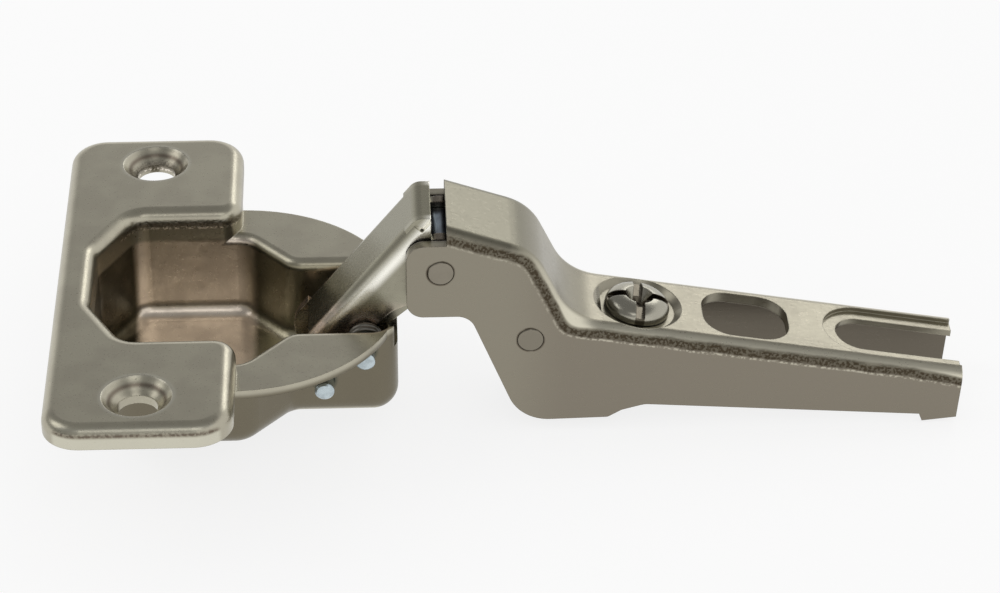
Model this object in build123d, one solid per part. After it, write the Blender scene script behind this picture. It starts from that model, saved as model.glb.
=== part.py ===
from build123d import *
import math
import os

os.makedirs("parts", exist_ok=True)

# Concealed cup hinge, shown fully open. The origin lies on the axis of the 35 mm cup, in the door face.
# X runs from the cup along the arm, Y along the door edge, and Z out of the door. All sizes are in mm.

# Drilling pattern of the door
cup_bore_diameter = 35.0
screw_spacing = 45.0
screw_offset = 9.5

# Flange of the cup, a shallow inverted tray
flange_end = 5.85
flange_width = 19.4
flange_front_x = 0.3
flange_height = 2.45
flange_sheet = 1.2
flange_corner = 4.0
flange_lobe_corner = 2.4
flange_top_round = 1.4
screw_hole_diameter = 4.2
countersink_diameter = 7.3
countersink_depth = 1.5

# Drawn pocket of the cup; the shares are parts of the reach of its inner wall from the bore's axis
cup_depth = 11.8
bowl_wall = 1.0
bore_gap = 0.15
back_share = 0.93
back_half_share = 0.318
side_share = 0.70
wide_share = 0.734
shoulder_share = 0.049
pocket_taper = 4.9
front_gap = 0.15
throat_gap = 0.7
pocket_corner = 2.6
pocket_front_corner = 1.8
pocket_floor_round = 1.7
mouth_round = 1.1

# Ears of the cup
ear_drop = 0.85
ear_sheet = 1.0
ear_tip_inset = 2.9
ear_tip_step = 0.5
front_wall_drop = 3.4
front_notch_inset = 0.4

# Cup pins, placed from the pocket's front wall and from each other
cup_pin_diameter = 2.1
cup_pin_proud = 2.2
cup_pin_chamfer = 0.25
cup_pin_fit = 0.03
upper_pin_inset = 2.5
upper_pin_depth = 3.1
pin_step_x = 4.4
pin_step_z = 3.7

# Arm pivots in the open pose, the front one from the upper pin and the rear one from the front one
front_pivot_run = 8.13
front_pivot_rise = 8.59
rear_pivot_run = 9.58
rear_pivot_drop = 8.72
rivet_diameter = 2.85
rivet_proud = 0.12
rivet_edge_round = 0.25
rivet_press_fit = 0.02
running_fit = 0.06
side_gap = 0.3

# Arm, a folded channel. Its places, to the end of the fork, are measured from the front pivot.
arm_width = 11.6
arm_sheet = 1.2
arm_bend_radius = 1.5
arm_pitch = 9.84
arm_level_x = 28.17
arm_level_z = -9.246
arm_rear_x = 56.67
nose_pitch = 19.3
nose_level_x = 2.32
nose_level_z = 4.61
nose_front_x = 0.67
crank_pitch = 64.7
crank_level_x = 11.07
crank_level_z = -0.49
crank_upper_round = 6.2
crank_lower_round = 6.5
ear_front_x = -3.63
ear_top_z = 3.36
ear_bottom_z = -5.54
ear_upper_round = 2.0
ear_lower_round = 1.8

# Lower edge of the arm's walls: a hump behind the links, a straight run, and a foot at the rear
hump_rise_x = 3.07
hump_rise_round = 2.0
hump_front_x = 8.57
hump_front_z = -19.29
hump_front_round = 4.6
hump_rear_x = 18.07
hump_rear_z = -19.09
hump_rear_round = 0.8
step_x = 19.57
step_z = -18.19
run_front_x = 22.07
run_front_z = -17.49
run_front_round = 2.5
run_rear_x = 52.17
run_rear_z = -19.59
foot_front_x = 52.52
foot_front_z = -20.49
foot_rear_x = 56.27
foot_rear_z = -20.09

# Adjusting screw and its seat in the arm
screw_x = 21.47
screw_head_diameter = 7.6
screw_head_height = 2.4
screw_thread_diameter = 5.8
screw_neck_diameter = 3.6
screw_neck_length = 1.8
screw_foot_diameter = 6.0
screw_foot_height = 1.2
screw_length = 8.4
screw_head_round = 1.1
screw_head_gap = 0.1
screw_slot_width = 1.1
screw_slot_depth = 1.1
screw_cross_length = 4.7
screw_cross_depth = 1.5
screw_centre_diameter = 3.8
screw_centre_foot = 1.6
screw_centre_depth = 1.8
seat_diameter = 9.8
seat_depth = 0.7
seat_under_inset = 0.4
collar_diameter = 8.4
collar_depth = 2.4

# Window and fork of the arm
window_x = 33.27
window_length = 9.6
window_width = 8.2
window_corner = 3.2
fork_end_x = 43.37
fork_width = 5.8
fork_rim = 1.5
fork_rim_depth = 0.5

# Outer link, a folded channel on the lower cup pin and the front rivet
link_sheet = 1.2
link_bend_radius = 1.4
link_web_offset = 3.32
link_web_angle = 51.4
link_web_start = 1.4
link_tongue_setback = 0.93
link_tongue_rise = 5.56
link_tongue_inset = 0.5
link_front_eye = 3.4
link_elbow_run = 2.9
link_elbow_rise = 2.9
link_elbow_round = 2.0
link_notch_gap = 0.35

# Inner link between the cheeks of the outer link; its knee and crest are measured from the upper pin
inner_sheet = 1.3
inner_eye = 2.2
inner_neck_half = 1.45
inner_knee_run = 4.0
inner_knee_rise = 3.55
inner_crest_run = 7.1
inner_crest_rise = 3.85
inner_rear_wall = 1.15
open_pivot_clearance = 0.3
crank_clearance = 0.3
drift_steps = 8

# Closing springs
spring_wire = 0.65
spring_pin_gap = 0.22
spring_pitch_factor = 1.04
spring_tail = 1.0
spring_side_gap = 0.12
spring_bar_gap = 0.3

# Swing of the outer link from fully open to closed, in degrees
closing_turn = 127.5

# Spacers on the rivets
spacer_wall = 1.2
rear_spacer_wall = 1.1
spacer_end_gap = 0.1

# How far a cut runs past the face it opens, and how near two places count as the same
past = 1.0
near = 0.01

# Values that follow from the sizes above
sheet_half = arm_width / 2
wall_inside = sheet_half - arm_sheet
link_half_width = wall_inside - side_gap
link_inside = link_half_width - link_sheet
inner_half_width = link_inside - side_gap
tongue_half = link_half_width - link_tongue_inset
flange_length = screw_spacing + 2 * flange_end
bowl_reach = cup_bore_diameter / 2 - bore_gap - bowl_wall
pocket_back_x = -back_share * bowl_reach
pocket_back_half = back_half_share * bowl_reach
pocket_side_x = -side_share * bowl_reach
pocket_wide_half = wide_share * bowl_reach
pocket_shoulder_x = shoulder_share * bowl_reach
pocket_throat_x = pocket_shoulder_x + pocket_taper
pocket_throat_half = sheet_half + throat_gap
pocket_front_x = bowl_reach - front_gap
ear_tip_x = cup_bore_diameter / 2 - ear_tip_inset
ear_tip_half = pocket_throat_half + ear_tip_step
cup_pin_length = 2 * (pocket_throat_half + bowl_wall + cup_pin_proud)
upper_pin = (pocket_front_x - upper_pin_inset, -upper_pin_depth)
lower_pin = (upper_pin[0] - pin_step_x, upper_pin[1] - pin_step_z)
front_pivot = (upper_pin[0] + front_pivot_run, upper_pin[1] + front_pivot_rise)
rear_pivot = (front_pivot[0] + rear_pivot_run, front_pivot[1] - rear_pivot_drop)
link_tongue = (front_pivot[0] - link_tongue_setback, front_pivot[1] + link_tongue_rise)
link_elbow = (upper_pin[0] + link_elbow_run, upper_pin[1] + link_elbow_rise)
inner_knee = (upper_pin[0] + inner_knee_run, upper_pin[1] + inner_knee_rise)
inner_crest = (upper_pin[0] + inner_crest_run, upper_pin[1] + inner_crest_rise)
arm_place = Pos(front_pivot[0], 0, front_pivot[1])


def side_point(x, z, y=0.0):
    return Vector(x, y, z)


def side_face(points, radii=None):
    """Face in the XZ plane from (x, z) points; radii maps a point's index to its corner radius."""
    outline = make_face(Polyline(*[side_point(x, z) for x, z in points], close=True))
    for index, radius in (radii or {}).items():
        x, z = points[index]
        corner = outline.vertices().sort_by_distance(side_point(x, z))[0]
        outline = fillet(corner, radius)
    return outline


def side_disc(x, z, radius):
    return Plane((x, 0, z), x_dir=(1, 0, 0), z_dir=(0, -1, 0)) * Circle(radius)


def slab(face, y_low, y_high):
    """Push each face of an XZ outline out from y_low to y_high, and join the results."""
    solids = [extrude(Pos(0, y_low, 0) * part, amount=y_high - y_low, dir=(0, 1, 0)) for part in face.faces()]
    whole = solids[0]
    for solid in solids[1:]:
        whole += solid
    return whole


def cross_pin(x, z, radius, y_low, y_high):
    return Pos(x, (y_low + y_high) / 2, z) * Rot(90, 0, 0) * Cylinder(radius, y_high - y_low)


def pocket_plan(grow=0.0):
    """Plan of the pocket's inner wall, grown by a sheet thickness for the outside."""
    upper = [(pocket_back_x, pocket_back_half), (pocket_side_x, pocket_wide_half),
             (pocket_shoulder_x, pocket_wide_half), (pocket_throat_x, pocket_throat_half),
             (pocket_front_x, pocket_throat_half)]
    lower = [(x, -y) for x, y in reversed(upper)]
    plan = make_face(Polyline(*upper, *lower, close=True))
    front = [v for v in plan.vertices() if v.X > pocket_front_x - near]
    plan = fillet(front, pocket_front_corner)
    plan = fillet([v for v in plan.vertices() if v.X < pocket_throat_x + near], pocket_corner)
    return offset(plan, grow, kind=Kind.ARC) if grow else plan


def pocket_back_plan():
    """Plan of the pocket behind the flange's front edge, run out past that edge."""
    run_out = flange_front_x + 2 * flange_lobe_corner
    back = [(pocket_back_x, pocket_back_half), (pocket_side_x, pocket_wide_half)]
    mirrored = [(x, -y) for x, y in reversed(back)]
    points = [*back, (run_out, pocket_wide_half), (run_out, -pocket_wide_half), *mirrored]
    plan = make_face(Polyline(*points, close=True))
    return fillet([v for v in plan.vertices() if v.X < pocket_side_x + near], pocket_corner)


def flange_plan(inset=0.0):
    """Plan of the flange, a rectangle behind the cup's front half."""
    centre_x = flange_front_x - flange_width / 2
    outline = RectangleRounded(flange_width - 2 * inset, flange_length - 2 * inset, flange_corner - inset)
    return Pos(centre_x, 0) * outline


def make_cup():
    floor_z = -cup_depth
    ear_z = -ear_drop
    flange_under_z = flange_height - flange_sheet
    inner_floor_z = floor_z + bowl_wall

    # Bowl and ears below the door face
    bowl = extrude(Pos(0, 0, floor_z) * pocket_plan(bowl_wall), amount=ear_z - floor_z)
    bowl = fillet(bowl.faces().sort_by(Axis.Z)[0].edges(), pocket_floor_round + bowl_wall)
    ear_plan = Circle(cup_bore_diameter / 2)
    behind = flange_front_x - flange_sheet
    ear_plan -= Pos(behind - cup_bore_diameter / 2, 0) * Rectangle(cup_bore_diameter, 2 * cup_bore_diameter)
    ear_plan -= Pos(ear_tip_x + cup_bore_diameter / 2, 0) * Rectangle(cup_bore_diameter, 2 * ear_tip_half)
    lower = bowl + extrude(Pos(0, 0, ear_z - ear_sheet) * ear_plan, amount=ear_sheet)
    cavity = extrude(Pos(0, 0, inner_floor_z) * pocket_plan(), amount=ear_z - inner_floor_z)
    cavity = fillet(cavity.faces().sort_by(Axis.Z)[0].edges(), pocket_floor_round)
    air_side = 3 * cup_bore_diameter
    air = extrude(Pos(0, 0, ear_z) * Rectangle(air_side, air_side), amount=cup_depth)
    opening = cavity + air
    level = opening.edges().filter_by_position(Axis.Z, ear_z - near, ear_z + near)
    rim = [edge for edge in level if edge.center().length < cup_bore_diameter]
    lower -= fillet(rim, mouth_round)

    # Flange with the pocket's mouth cut into it
    flange = flange_plan() - pocket_back_plan()
    for side in (-1, 1):
        corner_place = Vector(flange_front_x, side * pocket_wide_half, 0)
        flange = fillet(flange.vertices().sort_by_distance(corner_place)[0], flange_lobe_corner)
    upper = extrude(flange, amount=flange_height)
    upper = fillet(upper.faces().sort_by(Axis.Z)[-1].edges(), flange_top_round)
    hollow = extrude(Pos(0, 0, -past) * flange_plan(flange_sheet), amount=past + flange_under_z)
    hollow -= extrude(Pos(0, 0, -past) * pocket_plan(bowl_wall), amount=past + flange_height)
    for side in (-1, 1):
        hollow -= Pos(-screw_offset, side * screw_spacing / 2) * Cylinder(
            screw_hole_diameter / 2 + flange_sheet, 4 * flange_height)
    upper -= hollow

    # Wall that joins the flange to the ears and the pocket
    joint = flange & pocket_plan(bowl_wall)
    riser_box = Pos(flange_front_x - flange_sheet / 2, 0) * Rectangle(flange_sheet, cup_bore_diameter)
    riser_box &= Circle(cup_bore_diameter / 2)
    wall_top = flange_height - flange_top_round
    joint_depth = ear_drop + mouth_round + ear_sheet
    seam = extrude(Pos(0, 0, -joint_depth) * joint, amount=joint_depth + wall_top)
    riser_low_z = ear_z - ear_sheet
    riser = extrude(Pos(0, 0, riser_low_z) * (flange & riser_box), amount=wall_top - riser_low_z)
    cup = lower + upper + seam + riser

    # Front wall of the pocket is lowered where the links pass over it
    notch_width = 2 * (pocket_throat_half - front_notch_inset)
    notch_plan = Pos(pocket_front_x, 0) * Rectangle(2 * pocket_corner, notch_width)
    cup -= extrude(Pos(0, 0, -front_wall_drop) * notch_plan, amount=2 * front_wall_drop)

    # Holes for the wood screws and for the two pins
    for side in (-1, 1):
        spot = Pos(-screw_offset, side * screw_spacing / 2)
        cup -= spot * Cylinder(screw_hole_diameter / 2, 4 * flange_height)
        cone = Cone(screw_hole_diameter / 2, countersink_diameter / 2, countersink_depth)
        cup -= spot * Pos(0, 0, flange_height - countersink_depth / 2) * cone
    for x, z in (lower_pin, upper_pin):
        cup -= cross_pin(x, z, cup_pin_diameter / 2 + cup_pin_fit, -cup_pin_length, cup_pin_length)
    return cup


def make_cup_pin(x, z):
    pin = cross_pin(x, z, cup_pin_diameter / 2, -cup_pin_length / 2, cup_pin_length / 2)
    return chamfer(pin.edges().filter_by(GeomType.CIRCLE), cup_pin_chamfer)


def make_rivet(x, z):
    reach = arm_width / 2 + rivet_proud
    rivet = cross_pin(x, z, rivet_diameter / 2, -reach, reach)
    return fillet(rivet.edges().filter_by(GeomType.CIRCLE), rivet_edge_round)


def web_lines(depth):
    """Corner points of the arm's web in side view, at a depth below its outer face."""
    lines = []
    for pitch, x, z in ((nose_pitch, nose_level_x, nose_level_z), (crank_pitch, crank_level_x, crank_level_z),
                        (arm_pitch, arm_level_x, arm_level_z)):
        slope = -math.tan(math.radians(pitch))
        drop = depth / math.cos(math.radians(pitch))
        lines.append((slope, z - drop - slope * x))
    corners = []
    for (slope_a, level_a), (slope_b, level_b) in zip(lines, lines[1:]):
        x = (level_b - level_a) / (slope_a - slope_b)
        corners.append((x, slope_a * x + level_a))
    front = (nose_front_x, lines[0][0] * nose_front_x + lines[0][1])
    rear = (arm_rear_x, lines[2][0] * arm_rear_x + lines[2][1])
    return [front, *corners, rear]


def arm_outline():
    front, upper, lower, rear = web_lines(0.0)
    points = [(ear_front_x, ear_bottom_z), (ear_front_x, ear_top_z), (nose_front_x, ear_top_z), front, upper,
              lower, rear, (foot_rear_x, foot_rear_z), (foot_front_x, foot_front_z), (run_rear_x, run_rear_z),
              (run_front_x, run_front_z), (step_x, step_z), (hump_rear_x, hump_rear_z),
              (hump_front_x, hump_front_z), (hump_rise_x, ear_bottom_z)]
    radii = {0: ear_lower_round, 1: ear_upper_round, 4: crank_upper_round, 5: crank_lower_round,
             10: run_front_round, 12: hump_rear_round, 13: hump_front_round, 14: hump_rise_round}
    return side_face(points, radii)


def web_plane(x):
    """Plane on the arm's web at x, its Z square to the web."""
    slope = math.radians(arm_pitch)
    place = (x, 0, arm_level_z - math.tan(slope) * (x - arm_level_x))
    along, outward = (math.cos(slope), 0, -math.sin(slope)), (math.sin(slope), 0, math.cos(slope))
    return Plane(place, x_dir=along, z_dir=outward)


def make_arm():
    arm = slab(arm_outline(), -sheet_half, sheet_half)
    front, upper, lower, rear = web_lines(0.0)

    # Rounded bends along both edges of the web
    def on_bend(edge):
        middle = edge.position_at(0.5)
        if abs(abs(middle.Y) - sheet_half) > near or middle.X < nose_front_x + near:
            return False
        return top_z(middle.X) - middle.Z < arm_sheet and middle.X < arm_rear_x - near

    def top_z(x):
        points = [front, upper, lower, rear]
        for (xa, za), (xb, zb) in zip(points, points[1:]):
            if x <= xb:
                return za + (zb - za) * (x - xa) / (xb - xa)
        return rear[1]

    arm = fillet([e for e in arm.edges() if on_bend(e)], arm_bend_radius)

    # Channel under the web, open at the front, the rear and below
    inner = web_lines(arm_sheet)
    low_z = foot_front_z - past
    high_z = inner[0][1] + past
    far_rear = (arm_rear_x + past, inner[3][1] - past * math.tan(math.radians(arm_pitch)))
    channel = side_face([(ear_front_x - past, low_z), (ear_front_x - past, high_z), (nose_front_x, high_z),
                         inner[0], inner[1], inner[2], far_rear, (far_rear[0], low_z)],
                        {4: crank_upper_round - arm_sheet, 5: crank_lower_round + arm_sheet})
    arm -= slab(channel, -wall_inside, wall_inside)

    # Dished seat and collar for the adjusting screw
    seat = web_plane(screw_x)
    arm += seat * Pos(0, 0, -(arm_sheet + seat_depth) / 2) * Cylinder(
        seat_diameter / 2 - seat_under_inset, arm_sheet + seat_depth)
    arm += seat * Pos(0, 0, -(arm_sheet + collar_depth) / 2) * Cylinder(
        collar_diameter / 2, arm_sheet + collar_depth)
    dish = Cone(seat_diameter / 2 - seat_depth, seat_diameter / 2, seat_depth)
    arm -= seat * Pos(0, 0, -seat_depth / 2) * dish
    arm -= seat * Cylinder(screw_thread_diameter / 2 + running_fit, 4 * (arm_sheet + collar_depth))

    # Oblong window
    window = web_plane(window_x) * RectangleRounded(window_length, window_width, window_corner)
    arm -= extrude(window, amount=arm_sheet * 2, both=True)

    # Fork slot with a sunk rim
    run = arm_rear_x - fork_end_x + 2 * fork_width
    fork = web_plane(fork_end_x)
    slot = Pos(run / 2, 0) * SlotOverall(run, fork_width)
    arm -= extrude(fork * slot, amount=arm_sheet * 2, both=True)
    rim = Pos(run / 2, 0) * SlotOverall(run + 2 * fork_rim, fork_width + 2 * fork_rim)
    arm -= extrude(fork * Pos(0, 0, -fork_rim_depth) * rim, amount=past)
    for x, z in ((0, 0), (rear_pivot_run, -rear_pivot_drop)):
        arm -= cross_pin(x, z, rivet_diameter / 2 + rivet_press_fit, -arm_width, arm_width)
    return arm_place * arm


def link_plane():
    """Plane on the outer link's web at the lower pin: X up the web, Z out of it."""
    angle = math.radians(link_web_angle)
    normal = (-math.sin(angle), 0, math.cos(angle))
    foot = (lower_pin[0] + link_web_offset * normal[0], 0, lower_pin[1] + link_web_offset * normal[2])
    return Plane(foot, x_dir=(math.cos(angle), 0, math.sin(angle)), z_dir=normal)


def link_top():
    """Place where the outer link's web turns level."""
    web = link_plane()
    run = (link_tongue[1] - web.origin.Z) / math.sin(math.radians(link_web_angle))
    return run, (web.origin.X + run * math.cos(math.radians(link_web_angle)), link_tongue[1])


def link_cheek(y_low, y_high):
    """Cheek of the outer link, clear of the upper pin over the whole swing."""
    web = link_plane()
    below_rivet = (front_pivot[0], front_pivot[1] - link_front_eye)
    cheek = slab(side_face([(web.origin.X, web.origin.Z), link_top()[1], link_tongue,
                            (link_tongue[0], front_pivot[1]), below_rivet, link_elbow, upper_pin, lower_pin],
                           {1: link_bend_radius, 5: link_elbow_round}), y_low, y_high)
    cheek += cross_pin(*front_pivot, link_front_eye, y_low, y_high)
    pin_span = math.dist(lower_pin, upper_pin)
    notch = cup_pin_diameter / 2 + link_notch_gap
    swept = cross_pin(*lower_pin, pin_span + notch, y_low, y_high)
    swept -= cross_pin(*lower_pin, pin_span - notch, y_low, y_high)
    reach = 3 * pin_span
    far_point = (lower_pin[0] + 3 * pin_step_x, lower_pin[1] + 3 * pin_step_z)
    below = side_face([lower_pin, far_point, (lower_pin[0] + reach, lower_pin[1] - reach),
                       (lower_pin[0], lower_pin[1] - reach)])
    cheek -= swept & slab(below, y_low, y_high)
    cheek -= cross_pin(*upper_pin, notch, y_low, y_high)
    return cheek + cross_pin(*lower_pin, link_web_offset, y_low, y_high)


def make_outer_link():
    width = 2 * link_half_width
    web = link_plane()
    run, corner = link_top()
    span = run - link_bend_radius / 2 - link_web_start

    # Web with its two bends, rolled along the link
    section = RectangleRounded(width, 4 * link_bend_radius, link_bend_radius)
    section -= Pos(0, -link_sheet) * Rectangle(width - 2 * link_sheet, 4 * link_bend_radius)
    section -= Pos(0, -link_bend_radius / 2) * Rectangle(2 * width, 3 * link_bend_radius)
    start = web.from_local_coords((link_web_start, 0, -2 * link_bend_radius))
    cap = extrude(Plane(start, x_dir=(0, 1, 0), z_dir=web.x_dir) * section, amount=span)

    # Cheeks below the bends
    strip = web * Pos(link_web_start + span, 0, 0) * Box(2 * span, 2 * width, 2 * link_bend_radius)
    cheek = link_cheek(link_half_width - link_sheet, link_half_width)
    cheeks = cheek + mirror(cheek, about=Plane.XZ)
    cheeks -= strip
    link = cheeks + cap

    # Tongue at the top, narrower than the channel
    slope = math.tan(math.radians(link_web_angle))
    under = link_sheet / math.sin(math.radians(link_web_angle)) - link_sheet / slope
    tongue = side_face([(corner[0] - link_sheet, corner[1] - slope * link_sheet), corner,
                        link_tongue, (link_tongue[0], link_tongue[1] - link_sheet),
                        (corner[0] + under, link_tongue[1] - link_sheet),
                        (corner[0] + under - link_sheet, link_tongue[1] - link_sheet - slope * link_sheet)],
                       {1: link_bend_radius})
    link += slab(tongue, -tongue_half, tongue_half)
    link -= cross_pin(*lower_pin, cup_pin_diameter / 2 + running_fit, -width, width)
    return link - cross_pin(*front_pivot, rivet_diameter / 2 + running_fit, -width, width)


def turned(point, centre, degrees):
    """Turn an (x, z) point about a centre, the way the hinge closes."""
    angle = math.radians(degrees)
    x, z = point[0] - centre[0], point[1] - centre[1]
    return (centre[0] + x * math.cos(angle) - z * math.sin(angle),
            centre[1] + x * math.sin(angle) + z * math.cos(angle))


def bearing(start, end):
    return math.degrees(math.atan2(end[1] - start[1], end[0] - start[0]))


def closed_turns():
    """Turns of the arm and of the inner link when the hinge is closed, by the true four-bar."""
    front = turned(front_pivot, lower_pin, closing_turn)
    reach = math.dist(front, upper_pin)
    coupler = math.dist(front_pivot, rear_pivot)
    inner = math.dist(upper_pin, rear_pivot)
    along = (coupler ** 2 - inner ** 2 + reach ** 2) / (2 * reach)
    across = math.sqrt(coupler ** 2 - along ** 2)
    toward = ((upper_pin[0] - front[0]) / reach, (upper_pin[1] - front[1]) / reach)
    rear = (front[0] + along * toward[0] - across * toward[1],
            front[1] + along * toward[1] + across * toward[0])
    arm_turn = (bearing(front, rear) - bearing(front_pivot, rear_pivot)) % 360
    inner_turn = (bearing(upper_pin, rear) - bearing(upper_pin, rear_pivot)) % 360
    return arm_turn, inner_turn


def arm_in_link(point, share):
    """Place of an arm point in the inner link's frame when every joint has made this share of its turn."""
    arm_turn, inner_turn = closed_turns()
    front = turned(front_pivot, lower_pin, share * closing_turn)
    carried = (front[0] + point[0] - front_pivot[0], front[1] + point[1] - front_pivot[1])
    return turned(turned(carried, front, share * arm_turn), upper_pin, -share * inner_turn)


def band(start, end, low, high):
    """Strip along a line in side view, between two distances to its left."""
    length = math.dist(start, end)
    left = (-(end[1] - start[1]) / length, (end[0] - start[0]) / length)
    return side_face([(point[0] + side * left[0], point[1] + side * left[1])
                      for point, side in ((start, low), (end, low), (end, high), (start, high))])


def open_slot(grow):
    """Outline round every place that the rear rivet takes in the inner link."""
    places = [arm_in_link(rear_pivot, step / drift_steps) for step in range(drift_steps)]
    radius = rivet_diameter / 2 + grow
    slot = side_face(places)
    for start, end in zip(places, places[1:] + places[:1]):
        slot += side_disc(*start, radius)
        slot += band(start, end, -radius, radius)
    return slot


def behind_crank(share):
    """Space that the arm's crank takes in the inner link's frame, with its clearance."""
    crank = web_lines(arm_sheet + crank_clearance)[1:3]
    upper, lower = [(front_pivot[0] + x, front_pivot[1] + z) for x, z in crank]
    span = (lower[0] - upper[0], lower[1] - upper[1])
    start, end = (upper[0] - span[0], upper[1] - span[1]), (lower[0] + span[0], lower[1] + span[1])
    return band(arm_in_link(start, share), arm_in_link(end, share), 0, 2 * arm_width)


def inner_outline():
    """Cheek of the inner link, cranked over the front wall of the cup and under the front rivet."""
    outline = open_slot(open_pivot_clearance + inner_rear_wall) + side_disc(*upper_pin, inner_eye)
    for start, end in ((upper_pin, inner_knee), (inner_knee, inner_crest), (inner_crest, rear_pivot)):
        outline += side_disc(*end, inner_neck_half)
        outline += band(start, end, -inner_neck_half, inner_neck_half)
    return outline


def make_inner_link():
    """Two cheeks with a bridge between them along the top of the crank."""
    outline = inner_outline()
    gap = inner_half_width - inner_sheet
    bridge = band(inner_knee, inner_crest, inner_neck_half - inner_sheet, inner_neck_half)
    link = slab(bridge, -inner_half_width, inner_half_width)
    for y_low, y_high in ((-inner_half_width, -gap), (gap, inner_half_width)):
        link += slab(outline, y_low, y_high)
    link -= slab(open_slot(open_pivot_clearance), -arm_width, arm_width)
    for step in range(1, drift_steps):
        link -= slab(behind_crank(step / drift_steps), -arm_width, arm_width)
    return link - cross_pin(*upper_pin, cup_pin_diameter / 2 + running_fit, -arm_width, arm_width)


def make_spacer(x, z, outer_radius, y_low, y_high):
    bore = rivet_diameter / 2 + running_fit
    ring = cross_pin(x, z, outer_radius, y_low, y_high) - cross_pin(x, z, bore, y_low - past, y_high + past)
    return ring


def make_near_spring():
    """Torsion spring on the upper pin: one leg stands in the cup, the other bears on the outer link's eye."""
    wire = spring_wire / 2
    coil = cup_pin_diameter / 2 + spring_pin_gap + wire
    start_y = -(link_half_width + spring_side_gap + wire)
    floor_z = -cup_depth + bowl_wall

    # Line that touches the coil and the outside of the link's lower eye
    eye = link_web_offset + spring_bar_gap + wire
    tilt = math.acos((eye - coil) / math.dist(lower_pin, upper_pin))
    lean = math.radians(bearing(lower_pin, upper_pin)) - tilt
    outward = (math.cos(lean), math.sin(lean))
    cheek_y = -(link_half_width - link_sheet / 2)
    leave = (upper_pin[0] + coil * outward[0], start_y, upper_pin[1] + coil * outward[1])
    touch = (lower_pin[0] + eye * outward[0], cheek_y, lower_pin[1] + eye * outward[1])
    tip = (touch[0] + spring_tail * outward[1], cheek_y, touch[2] - spring_tail * outward[0])

    # Coil from that line round to the leg that stands on the floor
    turns = (540 - math.degrees(lean)) / 360
    pitch = spring_wire * spring_pitch_factor
    centre = Plane((upper_pin[0], start_y, upper_pin[1]), x_dir=(outward[0], 0, outward[1]), z_dir=(0, -1, 0))
    path = centre * Helix(pitch=pitch, height=pitch * turns, radius=coil)
    spring = sweep(Plane(origin=path @ 0, z_dir=path % 0) * Circle(wire), path=path, is_frenet=True)
    end = path @ 1
    foot = (end.X, end.Y, floor_z + pocket_floor_round)
    return spring + wire_leg([leave, touch, tip], wire) + wire_leg([(end.X, end.Y, end.Z), foot], wire)


def wire_leg(points, radius):
    """Straight runs of round wire with a ball at each bend."""
    leg = None
    for start, end in zip(points, points[1:]):
        run = Vector(*end) - Vector(*start)
        plane = Plane(Vector(*start), z_dir=run.normalized())
        rod = plane * Pos(0, 0, run.length / 2) * Cylinder(radius, run.length)
        rod += Pos(*start) * Sphere(radius)
        leg = rod if leg is None else leg + rod
    return leg


def make_screw():
    """Cross-recessed adjusting screw with a neck and a foot for the mounting plate."""
    under = screw_head_gap - seat_depth
    top = under + screw_head_height
    foot_top = screw_foot_height - screw_length
    thread_end = foot_top + screw_neck_length
    head = Pos(0, 0, (under + top) / 2) * Cylinder(screw_head_diameter / 2, screw_head_height)
    head = fillet(head.edges().filter_by(GeomType.CIRCLE).sort_by(Axis.Z)[-1], screw_head_round)
    thread = Pos(0, 0, (under + thread_end) / 2) * Cylinder(screw_thread_diameter / 2, under - thread_end)
    neck = Pos(0, 0, (thread_end + foot_top) / 2) * Cylinder(screw_neck_diameter / 2, screw_neck_length)
    foot = Pos(0, 0, foot_top - screw_foot_height / 2) * Cylinder(screw_foot_diameter / 2, screw_foot_height)
    screw = head + thread + neck + foot
    screw -= Pos(0, 0, top) * Box(screw_head_diameter + past, screw_slot_width, 2 * screw_slot_depth)
    screw -= Pos(0, 0, top) * Box(screw_slot_width, screw_cross_length, 2 * screw_cross_depth)
    screw -= Pos(0, 0, top - screw_centre_depth / 2) * Cone(
        screw_centre_foot / 2, screw_centre_diameter / 2, screw_centre_depth)
    return arm_place * (web_plane(screw_x) * screw)


arm_total_turn, inner_total_turn = closed_turns()
print("arm on outer link ratio", arm_total_turn / closing_turn - 1)
print("inner link ratio", inner_total_turn / closing_turn)
print("closed arm turn", arm_total_turn)

front_spacer_radius = rivet_diameter / 2 + running_fit + spacer_wall
rear_spacer_radius = rivet_diameter / 2 + running_fit + rear_spacer_wall
rear_start = inner_half_width + spacer_end_gap
rear_end = wall_inside - spacer_end_gap

near_spring = make_near_spring()

pieces = {
    "cup": make_cup(),
    "lower_cup_pin": make_cup_pin(*lower_pin),
    "upper_cup_pin": make_cup_pin(*upper_pin),
    "near_closing_spring": near_spring,
    "far_closing_spring": mirror(near_spring, about=Plane.XZ),
    "outer_link": make_outer_link(),
    "front_spacer": make_spacer(*front_pivot, front_spacer_radius, spacer_end_gap - link_inside,
                                link_inside - spacer_end_gap),
    "inner_link": make_inner_link(),
    "arm": make_arm(),
    "front_rivet": make_rivet(*front_pivot),
    "rear_rivet": make_rivet(*rear_pivot),
    "near_rear_spacer": make_spacer(*rear_pivot, rear_spacer_radius, -rear_end, -rear_start),
    "far_rear_spacer": make_spacer(*rear_pivot, rear_spacer_radius, rear_start, rear_end),
    "adjusting_screw": make_screw(),
}

for name, shape in pieces.items():
    export_step(shape, f"parts/{name}.step")
    print(name, len(shape.solids()), round(shape.volume, 1))
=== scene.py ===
import logging
import math
from dataclasses import dataclass
from enum import Enum
from typing import Any, Union

import bmesh
import bpy
from mathutils import Matrix, Vector


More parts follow.
